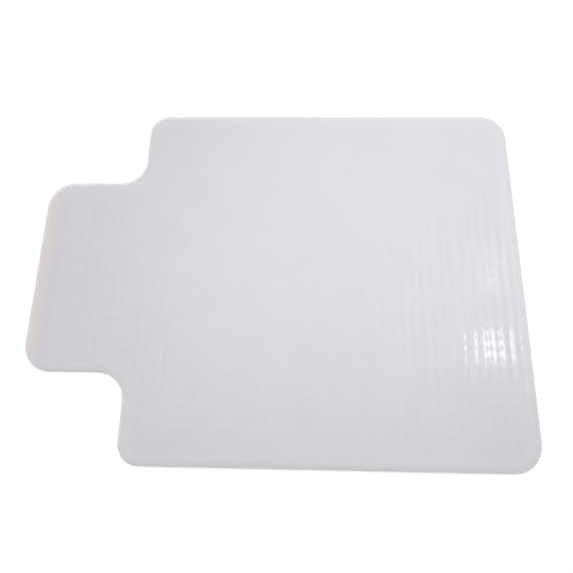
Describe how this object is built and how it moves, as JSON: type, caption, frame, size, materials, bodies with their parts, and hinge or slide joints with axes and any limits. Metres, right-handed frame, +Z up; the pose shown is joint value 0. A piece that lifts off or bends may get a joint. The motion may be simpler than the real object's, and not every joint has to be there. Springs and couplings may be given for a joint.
{
  "type": "chair mat",
  "caption": "T-shaped translucent plastic chair mat for carpet, with an under-desk tongue, a sloped border and a grid of cone studs underneath.",
  "frame": {"origin": "centre of the footprint, on the plane that the stud tips rest on", "axes": "+X along the length towards the chair end, so the under-desk tongue is at -X; +Y across the width; +Z up"},
  "size_m": [1.219, 0.914, 0.007],
  "materials": {
    "sheet": "frosted translucent soft PVC, satin sheen",
    "studs": "translucent soft PVC, moulded in one with the sheet"
  },
  "bodies": {
    "root": {"mat_sheet": "sheet", "rim_studs": "studs", "panel_studs": "studs", "lip_studs": "studs"}
  },
  "joints": []
}
